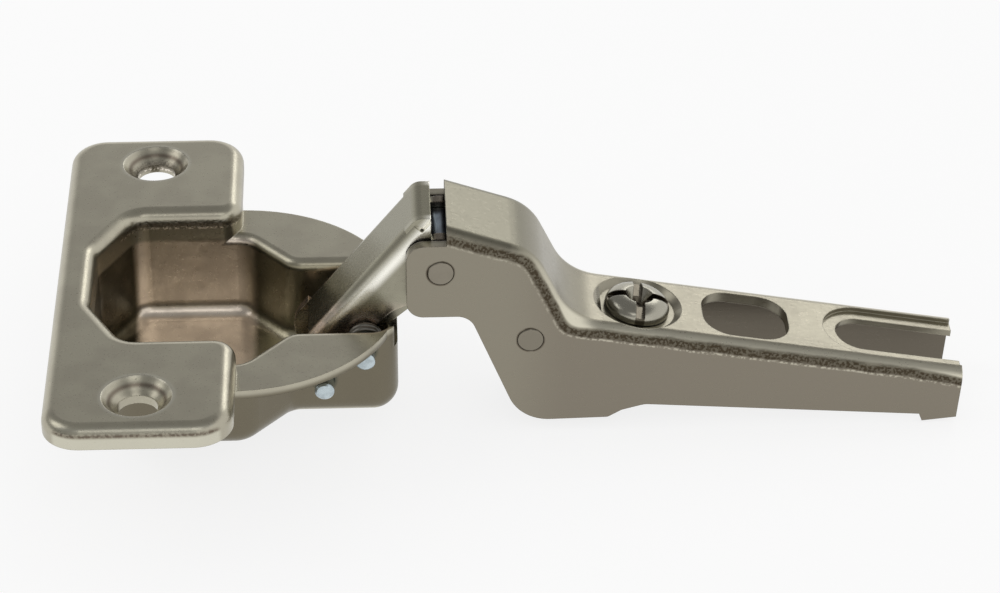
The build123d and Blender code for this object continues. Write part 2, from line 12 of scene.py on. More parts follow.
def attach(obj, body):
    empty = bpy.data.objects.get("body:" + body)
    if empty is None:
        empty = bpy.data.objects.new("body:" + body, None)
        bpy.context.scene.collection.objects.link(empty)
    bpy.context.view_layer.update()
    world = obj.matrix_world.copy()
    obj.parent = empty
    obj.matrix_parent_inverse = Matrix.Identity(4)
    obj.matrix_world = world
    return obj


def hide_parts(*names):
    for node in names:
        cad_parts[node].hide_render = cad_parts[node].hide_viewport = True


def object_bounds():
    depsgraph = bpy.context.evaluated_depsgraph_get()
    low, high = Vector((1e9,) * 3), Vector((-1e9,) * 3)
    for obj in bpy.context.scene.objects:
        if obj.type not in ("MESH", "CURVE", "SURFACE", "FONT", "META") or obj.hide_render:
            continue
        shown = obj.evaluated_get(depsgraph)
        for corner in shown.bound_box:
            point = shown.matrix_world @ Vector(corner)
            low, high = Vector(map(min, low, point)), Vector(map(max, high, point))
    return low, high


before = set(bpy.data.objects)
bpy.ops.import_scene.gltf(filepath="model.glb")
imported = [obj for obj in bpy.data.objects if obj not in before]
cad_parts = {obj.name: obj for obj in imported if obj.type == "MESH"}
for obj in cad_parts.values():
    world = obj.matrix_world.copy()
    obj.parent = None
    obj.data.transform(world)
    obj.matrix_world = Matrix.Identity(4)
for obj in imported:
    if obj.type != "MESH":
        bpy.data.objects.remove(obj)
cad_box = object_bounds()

log = logging.getLogger("hinge")

MM = 0.001
Colour = tuple[float, float, float]
Place = tuple[float, float, float]
Point = tuple[float, float]
# A span is where a share is 0 and where it is 1, and a band is the middle and the half width of a hump.
Span = tuple[float, float]
Band = tuple[float, float]
# Colour sockets of the Mix node.
MIX_FIRST, MIX_SECOND, MIX_RESULT = 6, 7, 2


class Grain(Enum):
    """Direction of the fine lines that rolling or drawing leaves, as the stretch along X, Y and Z."""

    ALONG_ARM = (0.05, 1.0, 1.0)
    ALONG_DOOR = (1.0, 0.07, 1.0)
    ALONG_PIN = (1.0, 0.04, 1.0)
    NONE = (1.0, 1.0, 1.0)


class Signal:
    """A value that changes over a surface, with arithmetic that adds Math nodes."""

    def __init__(self, tree: "Tree", socket: bpy.types.NodeSocket) -> None:
        """Keep the node tree and the output socket that carries the value."""
        self.tree = tree
        self.socket = socket

    def __add__(self, other: "Operand") -> "Signal":
        """Sum of two values."""
        return self.tree.calculate("ADD", self, other)

    __radd__ = __add__

    def __mul__(self, other: "Operand") -> "Signal":
        """Product of two values."""
        return self.tree.calculate("MULTIPLY", self, other)

    __rmul__ = __mul__

    def __sub__(self, other: "Operand") -> "Signal":
        """Difference of two values."""
        return self.tree.calculate("SUBTRACT", self, other)

    def __rsub__(self, other: "Operand") -> "Signal":
        """A value less this one."""
        return self.tree.calculate("SUBTRACT", other, self)

    def largest(self, other: "Operand") -> "Signal":
        """Larger of two values."""
        return self.tree.calculate("MAXIMUM", self, other)

    def smallest(self, other: "Operand") -> "Signal":
        """Smaller of two values."""
        return self.tree.calculate("MINIMUM", self, other)

    def soft_largest(self, other: "Operand", blend: float) -> "Signal":
        """Larger of two values, rounded where they are less than the blend apart."""
        return self.tree.calculate("SMOOTH_MAX", self, other, blend)

    def soft_smallest(self, other: "Operand", blend: float) -> "Signal":
        """Smaller of two values, rounded where they are less than the blend apart."""
        return self.tree.calculate("SMOOTH_MIN", self, other, blend)

    def size(self) -> "Signal":
        """This value without its sign."""
        return self.tree.calculate("ABSOLUTE", self)

    def wave(self) -> "Signal":
        """Sine of this value in radians."""
        return self.tree.calculate("SINE", self)

    def reach(self, other: "Signal") -> "Signal":
        """Distance over two values at right angles."""
        return self.tree.calculate("SQRT", self * self + other * other)

    def step(self, low: float, high: float) -> "Signal":
        """Smooth rise from 0 to 1.

        Args:
            low: the value at which the rise starts.
            high: the value at which it ends; below low, the rise becomes a fall.

        Returns:
            The smoothed share.
        """
        settings = {"interpolation_type": "SMOOTHSTEP"}
        inputs = {"Value": self, "From Min": low, "From Max": high}
        node = self.tree.node("ShaderNodeMapRange", settings, inputs)
        return Signal(self.tree, node.outputs["Result"])

    def ridge(self, middle: float, half_width: float) -> "Signal":
        """Smooth hump, 1 at the middle value and 0 a half width away."""
        return (self - middle).size().step(half_width, 0.0)


Operand = Union[Signal, float]


class Tree:
    """A node tree, with one method that adds any node."""

    def __init__(self, tree: bpy.types.NodeTree) -> None:
        """Empty the tree and keep it."""
        self.tree = tree
        tree.nodes.clear()

    def node(self, kind: str, settings: Union[dict[str, Any], None] = None,
             inputs: Union[dict[Any, Any], None] = None) -> bpy.types.Node:
        """Add a node.

        Args:
            kind: the node's type.
            settings: its properties, set first.
            inputs: values or links of its sockets, by name or number.

        Returns:
            The new node.
        """
        node = self.tree.nodes.new(kind)
        for name, value in (settings or {}).items():
            setattr(node, name, value)
        for name, value in (inputs or {}).items():
            self.plug(node.inputs[name], value)
        return node

    def plug(self, socket: bpy.types.NodeSocket, value: Any) -> None:
        """Link a signal to a socket, or set the socket's own value.

        Args:
            socket: the input socket.
            value: a Signal, a number, or a colour or vector as a tuple.
        """
        if isinstance(value, Signal):
            self.tree.links.new(value.socket, socket)
        elif isinstance(value, tuple) and socket.type == "RGBA":
            socket.default_value = (*value, 1.0)
        else:
            socket.default_value = value

    def calculate(self, operation: str, *values: Operand) -> Signal:
        """Add a Math node.

        Args:
            operation: the node's operation.
            values: its inputs in order.

        Returns:
            The node's result.
        """
        node = self.node("ShaderNodeMath", {"operation": operation}, dict(enumerate(values)))
        return Signal(self, node.outputs[0])

    def axes(self, vector: Signal) -> tuple[Signal, Signal, Signal]:
        """Split a vector into its three numbers."""
        split = self.node("ShaderNodeSeparateXYZ", inputs={0: vector})
        return tuple(Signal(self, output) for output in split.outputs)

    def mix(self, share: Operand, first: Any, second: Any) -> Signal:
        """Blend two colours.

        Args:
            share: how much of the second colour shows.
            first: the colour where the share is 0.
            second: the colour where the share is 1.

        Returns:
            The blended colour.
        """
        inputs = {0: share, MIX_FIRST: first, MIX_SECOND: second}
        node = self.node("ShaderNodeMix", {"data_type": "RGBA"}, inputs)
        return Signal(self, node.outputs[MIX_RESULT])


@dataclass(frozen=True)
class Speckle:
    """Random patches: their size in millimetres, their finer layers, and the span that sharpens them."""

    size: float
    detail: float
    edge: Span


@dataclass(frozen=True)
class Mark:
    """A tone that is laid over a finish, and how much of it shows at most."""

    tone: Colour
    share: float


class Surface(Tree):
    """Material of one piece, whose places are in millimetres of the shared frame."""

    def __init__(self, name: str) -> None:
        """Start a material.

        Args:
            name: the material's name.
        """
        self.material = bpy.data.materials.new(name)
        self.material.use_nodes = True
        super().__init__(self.material.node_tree)
        coordinates = self.node("ShaderNodeTexCoord")
        scaled = self.node("ShaderNodeVectorMath", {"operation": "SCALE"},
                           {0: Signal(self, coordinates.outputs["Object"]), "Scale": 1.0 / MM})
        self.place = Signal(self, scaled.outputs[0])
        self.x, self.y, self.z = self.axes(self.place)

    def noise(self, size: float, stretch: Grain = Grain.NONE, detail: float = 3.0) -> Signal:
        """Smooth random value around 0.5.

        Args:
            size: size of its patches in millimetres.
            stretch: how the patches are drawn out.
            detail: number of finer layers in it.

        Returns:
            The random value.
        """
        drawn = self.node("ShaderNodeVectorMath", {"operation": "MULTIPLY"},
                          {0: self.place, 1: stretch.value})
        inputs = {"Vector": Signal(self, drawn.outputs[0]), "Scale": 1.0 / size, "Detail": detail}
        return Signal(self, self.node("ShaderNodeTexNoise", inputs=inputs).outputs["Fac"])

    def speckle(self, speckle: Speckle) -> Signal:
        """Share of the surface that random patches cover."""
        return self.noise(speckle.size, detail=speckle.detail).step(*speckle.edge)

    def edges(self, width: float, samples: int) -> tuple[Signal, Signal]:
        """Rounded look of sharp edges.

        Args:
            width: radius of the rounding in millimetres.
            samples: number of rays that feel for an edge.

        Returns:
            The rounded normal, and a value that grows towards each edge.
        """
        bevel = self.node("ShaderNodeBevel", {"samples": samples}, {"Radius": width * MM})
        rounded = Signal(self, bevel.outputs[0])
        true = Signal(self, self.node("ShaderNodeNewGeometry").outputs["Normal"])
        dot = self.node("ShaderNodeVectorMath", {"operation": "DOT_PRODUCT"}, {0: rounded, 1: true})
        return rounded, 1.0 - Signal(self, dot.outputs["Value"])

    def ring(self, x: float, z: float) -> Signal:
        """Distance in millimetres from a cross axis through (x, z)."""
        return (self.x - x).reach(self.z - z)

    def below(self, x: float, z: float, rise: float) -> Signal:
        """Depth in millimetres below a slanting plane across the hinge, square to it.

        Args:
            x: x of a point on the plane.
            z: z of that point.
            rise: how far the plane rises along X, in degrees.

        Returns:
            The depth.
        """
        angle = math.radians(rise)
        return (self.x - x) * math.sin(angle) - (self.z - z) * math.cos(angle)

    def finish(self, look: "Look") -> bpy.types.Material:
        """Join the layers of a finish into the shader.

        Args:
            look: the layers.

        Returns:
            The finished material.
        """
        bump = self.node("ShaderNodeBump", inputs={
            "Strength": 1.0, "Distance": MM, "Height": look.height, "Normal": look.normal})
        shader = self.node("ShaderNodeBsdfPrincipled", inputs={
            "Base Color": look.colour, "Metallic": 1.0, "Roughness": look.roughness,
            "Normal": Signal(self, bump.outputs[0])})
        output = self.node("ShaderNodeOutputMaterial")
        self.tree.links.new(shader.outputs[0], output.inputs[0])
        return self.material


@dataclass
class Look:
    """Layers of a finish: colour, roughness, height in millimetres and the normal under the bump."""

    surface: Surface
    colour: Signal
    roughness: Signal
    height: Signal
    normal: Signal

    def paint(self, share: Signal, tone: Any) -> None:
        """Lay a tone, a Colour or a Signal, over the colour."""
        self.colour = self.surface.mix(share, self.colour, tone)

    def mark(self, mask: Signal, mark: Mark) -> None:
        """Lay a mark over the colour where its mask is above 0."""
        self.paint(mask * mark.share, mark.tone)

    def lift(self, mask: Signal, depth: float) -> None:
        """Raise the surface by a depth in millimetres where the mask is 1."""
        self.height = self.height + mask * depth


@dataclass(frozen=True)
class Plating:
    """A thin metal plating on steel."""

    name: str
    colour: Colour
    cloud: Colour
    roughness: float
    grain: Grain
    grain_depth: float
    cloud_size: float = 4.0
    cloud_edge: Span = (0.38, 0.62)
    cloud_share: float = 0.55
    line_size: float = 0.22
    line_share: float = 0.25
    line_roughness: float = 0.12
    fine_size: float = 0.35
    fine_roughness: float = 0.10
    fine_depth: float = 0.4
    pits: Speckle = Speckle(0.28, 1.0, (0.74, 0.80))
    pit_share: float = 0.45
    pit_gain: float = 0.55
    pit_roughness: float = 0.15
    pit_depth: float = 0.004
    edge_width: float = 0.14
    edge_samples: int = 6
    rubbed_edge: Span = (0.02, 0.22)
    rubbed_share: float = 0.6
    rubbed_gain: float = 1.35
    rubbed_roughness: float = 0.06

    def look(self, surface: Surface) -> Look:
        """Lay the finish on a surface.

        Args:
            surface: the material that gets the layers.

        Returns:
            The layers, for a piece to add its own marks to.
        """
        clouds = surface.noise(self.cloud_size).step(*self.cloud_edge)
        fine = surface.noise(self.fine_size, detail=2.0)
        lines = surface.noise(self.line_size, self.grain, detail=4.0)
        pits = surface.speckle(self.pits)
        normal, edge = surface.edges(self.edge_width, self.edge_samples)
        rubbed = edge.step(*self.rubbed_edge)
        bright = tuple(min(1.0, self.rubbed_gain * channel) for channel in self.colour)
        dull = tuple(self.pit_gain * channel for channel in self.colour)
        tone = surface.mix(clouds * self.cloud_share + lines * self.line_share, self.colour, self.cloud)
        tone = surface.mix(pits * self.pit_share, tone, dull)
        tone = surface.mix(rubbed * self.rubbed_share, tone, bright)
        roughness = self.roughness + (fine - 0.5) * self.fine_roughness
        roughness = roughness + (lines - 0.5) * self.line_roughness
        roughness = roughness + pits * self.pit_roughness - rubbed * self.rubbed_roughness
        height = lines * self.grain_depth + fine * (self.fine_depth * self.grain_depth)
        height = height - pits * self.pit_depth
        return Look(surface, tone, roughness, height, normal)

    def material(self) -> bpy.types.Material:
        """The finish with no marks of its own."""
        surface = Surface(self.name)
        return surface.finish(self.look(surface))


CUP_NICKEL = Plating("cup_nickel", (0.475, 0.449, 0.354), (0.405, 0.376, 0.30), 0.30, Grain.NONE, 0.004)
# The arm's nickel is set darker than the cup's, though both are one plating, so that the arm shows darker:
# painted shade
ARM_NICKEL = Plating("arm_nickel", (0.32, 0.298, 0.232), (0.27, 0.25, 0.196), 0.30, Grain.ALONG_ARM, 0.004)
LINK_NICKEL = Plating("link_nickel", (0.335, 0.32, 0.245), (0.275, 0.258, 0.20), 0.26,
                      Grain.ALONG_ARM, 0.003)
PIN_STEEL = Plating("pin_steel", (0.56, 0.64, 0.67), (0.34, 0.39, 0.41), 0.26, Grain.NONE, 0.004,
                    cloud_size=0.9)
RIVET_STEEL = Plating("rivet_steel", (0.26, 0.235, 0.188), (0.21, 0.19, 0.15), 0.32, Grain.NONE, 0.004)
SPACER_ZINC = Plating("spacer_zinc", (0.26, 0.31, 0.36), (0.12, 0.13, 0.15), 0.30, Grain.ALONG_PIN, 0.003,
                      cloud_size=1.6)
SPRING_STEEL = Plating("spring_steel", (0.17, 0.16, 0.14), (0.10, 0.095, 0.085), 0.34, Grain.NONE, 0.003)
SCREW_NICKEL = Plating("screw_nickel", (0.42, 0.40, 0.335), (0.34, 0.325, 0.27), 0.24, Grain.NONE, 0.003)


def dress(node: str, material: bpy.types.Material) -> None:
    """Give a CAD node its material.

    Args:
        node: the node's name.
        material: the material that replaces its plain one.
    """
    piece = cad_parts[node]
    piece.data.materials.clear()
    piece.data.materials.append(material)
    log.info("%s is dressed in %s", node, material.name)


@dataclass
class Cup:
    """The drawn cup with its flange, ears, pins and springs."""

    # The countersunk holes, with painted shade round the hole and a painted highlight round the seat
    hole_places: tuple[Point, ...] = ((-9.5, -22.5), (-9.5, 22.5))
    seat_edge: Span = (3.85, 3.35)
    seat_turning: float = 9.0
    seat_depth: float = 0.004
    hole_ring: Band = (2.9, 0.35)
    hole_shade_mark: Mark = Mark((0.14, 0.11, 0.085), 0.8)
    seat_ring: Band = (3.75, 0.4)
    seat_highlight_mark: Mark = Mark((0.55, 0.53, 0.45), 0.6)
    # The drawn pocket, with warm painted light inside and painted shade on its slanting walls and outside
    mouth: Span = (-0.9, -1.5)
    bore_edge: Span = (16.7, 16.3)
    near_wall: Span = (-11.2, -10.6)
    far_wall: Span = (12.9, 12.4)
    floor: Span = (-11.8, -11.3)
    near_throat: tuple[Span, Span] = ((1.0, 2.5), (-6.6, -7.2))
    far_throat: tuple[Span, Span] = ((6.0, 7.0), (8.2, 8.8))
    facing_start: Span = (-12.0, -11.2)
    facing_end: Span = (2.1, 0.9)
    pocket_clouds: Speckle = Speckle(3.2, 2.0, (0.35, 0.65))
    pocket_depth: float = 0.02
    pocket_light_tones: tuple[Colour, Colour] = ((0.82, 0.72, 0.60), (0.66, 0.575, 0.48))
    slant_shade_tones: tuple[Colour, Colour] = ((0.13, 0.118, 0.08), (0.08, 0.07, 0.045))
    slant_front: Span = (0.5, 4.0)
    slant_front_painted_tone: Colour = (0.36, 0.33, 0.235)
    outside: Span = (-1.1, -1.8)
    outside_shade_mark: Mark = Mark((0.145, 0.126, 0.088), 0.9)
    # The pocket's far lip: a painted dark reflection with painted glints
    lip_band: Band = (0.9, 0.8)
    lip_side: Span = (9.0, 10.5)
    lip_end: Span = (3.0, 0.5)
    lip_grains: Speckle = Speckle(0.3, 2.0, (0.45, 0.6))
    lip_shade_mark: Mark = Mark((0.13, 0.11, 0.085), 0.75)
    glint_band: Band = (0.45, 0.3)
    glint_edge: Span = (0.0, 0.2)
    glint_tone: Colour = (0.85, 0.78, 0.68)
    # The flange's near edge: painted highlight bands round a painted dark reflection line
    edge_side: Span = (-27.0, -27.5)
    edge_grains: Speckle = Speckle(0.35, 2.0, (0.42, 0.58))
    lower_edge: Span = (1.5, 1.1)
    lower_highlight_mark: Mark = Mark((0.66, 0.64, 0.53), 0.7)
    upper_band: Band = (2.1, 0.3)
    upper_highlight_mark: Mark = Mark((0.60, 0.58, 0.48), 0.5)
    line_band: Band = (1.55, 0.32)
    line_shares: tuple[float, float] = (0.6, 0.35)
    reflection_line_tone: Colour = (0.13, 0.10, 0.075)
    grain_depth: float = 0.02
    # The ends of the pins, with rings of painted shade
    pins: tuple[Point, ...] = ((9.3, -6.8), (13.7, -3.1))
    pin_ring: Band = (1.15, 0.4)
    pin_side: Span = (7.0, 7.4)
    pin_shade_mark: Mark = Mark((0.10, 0.10, 0.075), 0.85)

    def inside(self, surface: Surface) -> Signal:
        """Share of a place that lies in the drawn pocket, leaving out the throat.

        Args:
            surface: the material that asks.

        Returns:
            The share.
        """
        inside = surface.z.step(*self.mouth) * surface.x.reach(surface.y).step(*self.bore_edge)
        for wall in (self.near_wall, self.far_wall):
            inside = inside * surface.y.step(*wall)
        inside = inside * surface.z.step(*self.floor)
        near, far = (surface.x.step(*along) * surface.y.step(*across)
                     for along, across in (self.near_throat, self.far_throat))
        return inside * (1.0 - near.largest(far))

    def pocket(self, look: Look) -> None:
        """Lay warm painted light in the drawn pocket, and painted shade on its slanting walls and the cup's
        outside.

        Args:
            look: the layers that the tones are laid over.
        """
        surface = look.surface
        inside = self.inside(surface)
        facing = surface.x.step(*self.facing_start) * surface.x.step(*self.facing_end)
        clouds = surface.speckle(self.pocket_clouds)
        warm = surface.mix(clouds, *self.pocket_light_tones)
        slanting = surface.mix(clouds, *self.slant_shade_tones)
        slanting = surface.mix(surface.x.step(*self.slant_front), slanting, self.slant_front_painted_tone)
        look.mark(surface.z.step(*self.outside) * (1.0 - inside), self.outside_shade_mark)
        look.paint(inside, surface.mix(facing, slanting, warm))
        look.lift(inside * clouds, self.pocket_depth)

    def far_lip(self, look: Look) -> None:
        """Lay a painted dark reflection on the bend of the pocket's far lip, with painted glints on its
        grains.

        Args:
            look: the layers that the bend is laid over.
        """
        surface = look.surface
        lip = surface.z.ridge(*self.lip_band) * surface.y.step(*self.lip_side)
        lip = lip * surface.x.step(*self.lip_end)
        grains = surface.speckle(self.lip_grains)
        glint = surface.z.ridge(*self.glint_band) * lip.step(*self.glint_edge)
        look.mark(lip, self.lip_shade_mark)
        look.paint(glint * grains, self.glint_tone)
        look.lift(lip * grains, self.grain_depth)

    def near_edge(self, look: Look) -> None:
        """Lay painted highlight bands on the flange's near edge, with a painted dark reflection line between
        them.

        Args:
            look: the layers that the line is laid over.
        """
        surface = look.surface
        near = surface.y.step(*self.edge_side)
        grains = surface.speckle(self.edge_grains)
        line = near * surface.z.ridge(*self.line_band)
        least, more = self.line_shares
        look.mark(near * surface.z.step(*self.lower_edge), self.lower_highlight_mark)
        look.mark(near * surface.z.ridge(*self.upper_band), self.upper_highlight_mark)
        look.paint(line * (grains * more + least), self.reflection_line_tone)
        look.lift(line * grains, self.grain_depth)

    def countersinks(self, look: Look) -> None:
        """Lay the turned seats of the two screw holes, with painted shade round the hole and a painted
        highlight round the seat.

        Args:
            look: the layers that the seats are laid over.
        """
        surface = look.surface
        for x, y in self.hole_places:
            away = (surface.x - x).reach(surface.y - y)
            look.lift(away.step(*self.seat_edge) * (away * self.seat_turning).wave(), self.seat_depth)
            look.mark(away.ridge(*self.hole_ring), self.hole_shade_mark)
            look.mark(away.ridge(*self.seat_ring), self.seat_highlight_mark)

    def pin_rings(self, look: Look) -> None:
        """Lay a ring of painted shade round each pin's end on the ears.

        Args:
            look: the layers that the rings are laid over.
        """
        surface = look.surface
        for x, z in self.pins:
            ring = surface.ring(x, z).ridge(*self.pin_ring) * surface.y.size().step(*self.pin_side)
            look.mark(ring, self.pin_shade_mark)

    def cup_material(self) -> bpy.types.Material:
        """Nickel with painted light and shade in the pocket and on grainy edges, turned countersinks and
        painted shade round the pins.

        Returns:
            The cup's material.
        """
        look = CUP_NICKEL.look(Surface("cup_drawn_nickel"))
        for layer in (self.pocket, self.far_lip, self.near_edge, self.countersinks, self.pin_rings):
            layer(look)
        return look.surface.finish(look)

    def build(self) -> None:
        """Dress the cup and what stays with it."""
        dress("cup", self.cup_material())
        for node in ("lower_cup_pin", "upper_cup_pin"):
            dress(node, PIN_STEEL.material())
        for node in ("near_closing_spring", "far_closing_spring"):
            dress(node, SPRING_STEEL.material())


@dataclass
class Links:
    """The two links and the spacers on the rivets."""

    # Painted shade on the web and by the tongue, a painted highlight along the bend, and a painted
    # reflection low on the cheeks
    bend_place: Point = (18.85, 8.76)
    bend_rise: float = 50.0
    bend_band: Band = (0.35, 1.0)
    bend_highlight_tone: Colour = (0.98, 0.96, 0.87)
    cheek_side: Span = (2.7, 3.4)
    web_shade_mark: Mark = Mark((0.245, 0.232, 0.172), 0.9)
    streak_size: float = 0.5
    streak_depth: float = 0.002
    foot: Span = (1.5, -2.0)
    foot_patches: Speckle = Speckle(1.8, 2.0, (0.42, 0.6))
    foot_shares: tuple[float, float] = (0.4, 0.5)
    foot_reflection_tone: Colour = (0.92, 0.74, 0.62)
    gap_start: Span = (20.9, 21.4)
    gap_height: Span = (7.8, 8.6)
    gap_shade_mark: Mark = Mark((0.09, 0.07, 0.055), 0.85)

    def outer_material(self) -> bpy.types.Material:
        """Bright nickel; painted shade on the web and by the tongue, a painted highlight along the bend, a
        warm painted reflection low on the cheeks.

        Returns:
            The outer link's material.
        """
        surface = Surface("outer_link_nickel")
        look = LINK_NICKEL.look(surface)
        below = surface.below(*self.bend_place, self.bend_rise)
        cheek = surface.y.size().step(*self.cheek_side)
        streaks = surface.noise(self.streak_size, Grain.ALONG_DOOR, detail=2.0)
        look.mark(1.0 - cheek, self.web_shade_mark)
        look.paint(below.ridge(*self.bend_band) * cheek, self.bend_highlight_tone)
        look.lift(streaks * cheek, self.streak_depth)
        patches = surface.speckle(self.foot_patches)
        least, more = self.foot_shares
        look.paint(surface.z.step(*self.foot) * cheek * (patches * more + least), self.foot_reflection_tone)
        look.mark(surface.x.step(*self.gap_start) * surface.z.step(*self.gap_height), self.gap_shade_mark)
        return surface.finish(look)

    def build(self) -> None:
        """Dress the links and the spacers."""
        dress("outer_link", self.outer_material())
        dress("inner_link", LINK_NICKEL.material())
        for node in ("front_spacer", "near_rear_spacer", "far_rear_spacer"):
            dress(node, SPACER_ZINC.material())


@dataclass
class Arm:
    """The channel arm with its rivets."""

    # The ends of the rivets
    rivets: tuple[Point, ...] = ((21.83, 5.49), (31.41, -3.23))
    rivet_ring: Band = (1.485, 0.16)
    rivet_breaks: Speckle = Speckle(1.6, 1.0, (0.42, 0.56))
    rivet_shares: tuple[float, float] = (0.2, 0.75)
    rivet_tone: Colour = (0.12, 0.10, 0.075)
    rivet_groove: float = 0.04
    # Each run of the web: its fall in degrees, and the x and z of a point on it from the front rivet.
    nose: tuple[float, float, float] = (19.3, 2.32, 4.61)
    crank: tuple[float, float, float] = (64.7, 11.07, -0.49)
    rear: tuple[float, float, float] = (9.84, 28.17, -9.246)
    blend: float = 1.6
    # The arm's faces: painted shade on the front, walls and inside, and a painted highlight on the bends
    half_width: float = 5.8
    wall_inset: Span = (0.9, 0.5)
    front_end: Span = (33.5, 29.5)
    front_shade_mark: Mark = Mark((0.205, 0.193, 0.147), 0.95)
    wall_depth: Span = (0.6, 1.6)
    wall_change: Span = (28.0, 36.0)
    wall_shade_tones: tuple[Colour, Colour] = ((0.272, 0.248, 0.195), (0.238, 0.212, 0.168))
    hidden_depth: Span = (0.9, 1.3)
    hidden_inset: Span = (0.9, 1.15)
    hidden_shade_tone: Colour = (0.15, 0.132, 0.104)
    bend_inset: Span = (1.4, 0.7)
    bend_depth: Span = (0.55, 0.3)
    bend_start: Span = (29.0, 36.0)
    bend_highlight_mark: Mark = Mark((0.70, 0.665, 0.54), 0.9)
    # The fold: a rough band of painted dark reflection, with a painted highlight line at its lower edge
    wander_size: float = 2.5
    wander_width: float = 0.5
    fold_grains: Speckle = Speckle(0.3, 2.0, (0.42, 0.6))
    band_upper: Span = (0.35, 0.75)
    band_lower: Span = (1.6, 1.25)
    band_thinning: float = 0.35
    band_shade_tone: Colour = (0.06, 0.047, 0.03)
    band_depth: float = 0.025
    line_band: Band = (1.6, 0.22)
    line_wander: float = 0.6
    line_start: Span = (33.0, 40.0)
    line_shares: tuple[float, float] = (0.3, 0.35)
    reflection_line_tone: Colour = (0.66, 0.62, 0.50)

    def depth(self, surface: Surface) -> Signal:
        """Depth in millimetres below the web's outer face, along all its runs.

        Args:
            surface: the material that asks.

        Returns:
            The depth.
        """
        front_x, front_z = self.rivets[0]
        nose, crank, rear = (surface.below(front_x + x, front_z + z, -fall)
                             for fall, x, z in (self.nose, self.crank, self.rear))
        return nose.soft_smallest(crank.soft_largest(rear, self.blend), self.blend)

    def inset(self, surface: Surface, span: Span) -> Signal:
        """Share that changes between two distances in from the arm's sides."""
        return surface.y.size().step(self.half_width - span[0], self.half_width - span[1])

    def faces(self, look: Look, depth: Signal, wall: Signal) -> None:
        """Lay painted shade on the front, the walls and the inside of the arm, and a painted highlight on
        its bends.

        Args:
            look: the layers that the tones are laid over.
            depth: depth below the web's outer face.
            wall: share of a place that lies in a wall.
        """
        surface = look.surface
        look.mark(surface.x.step(*self.front_end) * (1.0 - wall), self.front_shade_mark)
        tone = surface.mix(surface.x.step(*self.wall_change), *self.wall_shade_tones)
        look.paint(wall * depth.step(*self.wall_depth), tone)
        look.paint(depth.step(*self.hidden_depth) * self.inset(surface, self.hidden_inset), self.hidden_shade_tone)
        bend = self.inset(surface, self.bend_inset) * depth.step(*self.bend_depth)
        look.mark(bend * surface.x.step(*self.bend_start), self.bend_highlight_mark)

    def fold(self, look: Look, depth: Signal, wall: Signal) -> None:
        """Lay a painted dark reflection band of the fold below the web's edges, rough as a bump, with a
        painted highlight line on grains at its lower edge.

        Args:
            look: the layers that the band is laid over.
            depth: depth below the web's outer face.
            wall: share of a place that lies in a wall.
        """
        surface = look.surface
        wander = (surface.noise(self.wander_size, detail=2.0) - 0.5) * self.wander_width
        grains = surface.speckle(self.fold_grains)
        wavy = depth + wander
        band = wavy.step(*self.band_upper) * wavy.step(*self.band_lower) * wall
        line = (depth + wander * self.line_wander).ridge(*self.line_band) * wall
        least, more = self.line_shares
        strength = surface.x.step(*self.line_start) * more + least
        look.paint(band * (1.0 - grains * self.band_thinning), self.band_shade_tone)
        look.paint(line * grains * strength, self.reflection_line_tone)
        look.lift(band * grains, self.band_depth)

    def rivet_rings(self, look: Look) -> None:
        """Lay a dark, broken ring round each rivet.

        Args:
            look: the layers that the rings are laid over.
        """
        surface = look.surface
        broken = surface.speckle(self.rivet_breaks)
        least, more = self.rivet_shares
        for x, z in self.rivets:
            ring = surface.ring(x, z).ridge(*self.rivet_ring)
            look.paint(ring * (broken * more + least), self.rivet_tone)
            look.lift(ring * broken, -self.rivet_groove)

    def arm_material(self) -> bpy.types.Material:
        """Nickel with painted shade and highlights on its faces and fold, and a dark, broken ring round each
        rivet.

        Returns:
            The arm's material.
        """
        surface = Surface("arm_folded_nickel")
        look = ARM_NICKEL.look(surface)
        depth = self.depth(surface)
        wall = self.inset(surface, self.wall_inset)
        self.faces(look, depth, wall)
        self.fold(look, depth, wall)
        self.rivet_rings(look)
        return surface.finish(look)

    def build(self) -> None:
        """Dress the arm and its rivets."""
        dress("arm", self.arm_material())
        for node in ("front_rivet", "rear_rivet"):
            dress(node, RIVET_STEEL.material())


